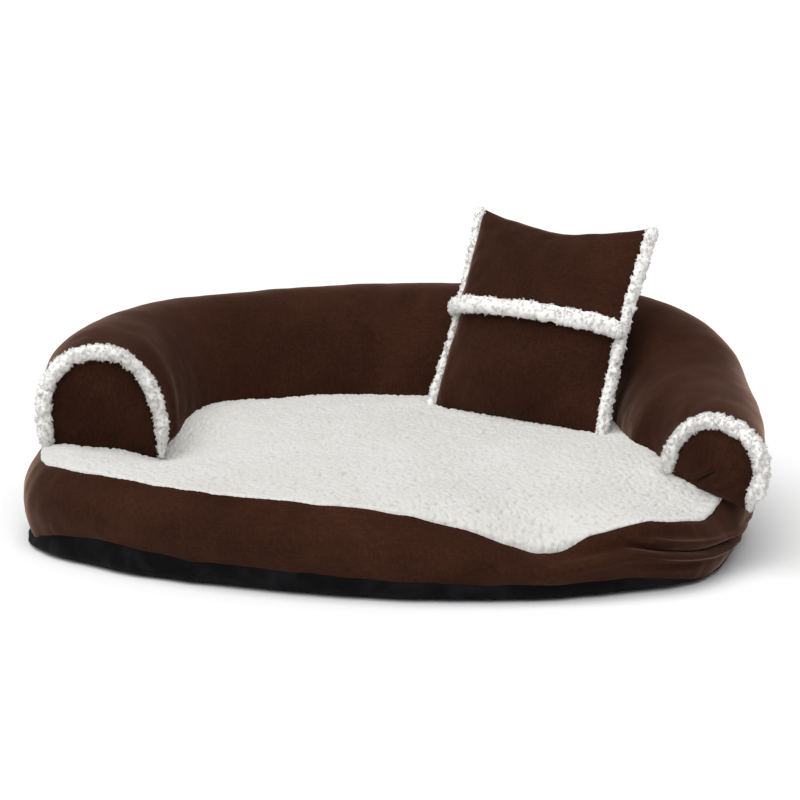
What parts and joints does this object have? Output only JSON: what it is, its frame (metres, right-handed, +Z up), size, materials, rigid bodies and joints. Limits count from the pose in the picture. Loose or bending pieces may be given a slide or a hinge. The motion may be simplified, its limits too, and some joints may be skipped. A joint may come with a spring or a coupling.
{
  "type": "dog bed",
  "caption": "Small sofa-style pet bed: stuffed oval base with a fleece seat, a U-shaped stuffed bolster and a loose trimmed pillow.",
  "frame": {"origin": "on the floor, at the middle of the bed's box", "axes": "+Z up, +X to the bed's right-hand arm as seen from the front, -Y to the open front"},
  "size_m": [0.508, 0.406, 0.2047],
  "materials": {
    "brown_suede": "dark chocolate brown faux suede, short nap, soft wrinkles",
    "sherpa_seat": "off-white sherpa fleece, small tight curls",
    "sherpa_trim": "off-white sherpa fleece, longer loose curls",
    "black_base_cloth": "black woven non-slip base cloth, faint blue-grey mottling",
    "stuffing": "white polyester fibre stuffing, hidden inside the covers"
  },
  "bodies": {
    "bed": {"base_bottom_panel": "black_base_cloth", "base_side_band": "brown_suede", "seat_top_panel": "sherpa_seat", "base_fill": "stuffing", "bolster_cover": "brown_suede", "bolster_fill": "stuffing", "left_arm_end_panel": "brown_suede", "left_arm_trim": "sherpa_trim", "right_arm_end_panel": "brown_suede", "right_arm_trim": "sherpa_trim"},
    "pillow": {"pillow_fill": "stuffing", "pillow_front_panel": "brown_suede", "pillow_back_panel": "brown_suede", "pillow_flap": "brown_suede", "pillow_flap_trim": "sherpa_trim", "pillow_left_trim": "sherpa_trim", "pillow_right_trim": "sherpa_trim"}
  },
  "joints": [
    {"name": "pillow_lift", "type": "slide", "parent": "bed", "child": "pillow", "axis": [0, 0, 1], "range_m": [0, 0.2]}
  ]
}
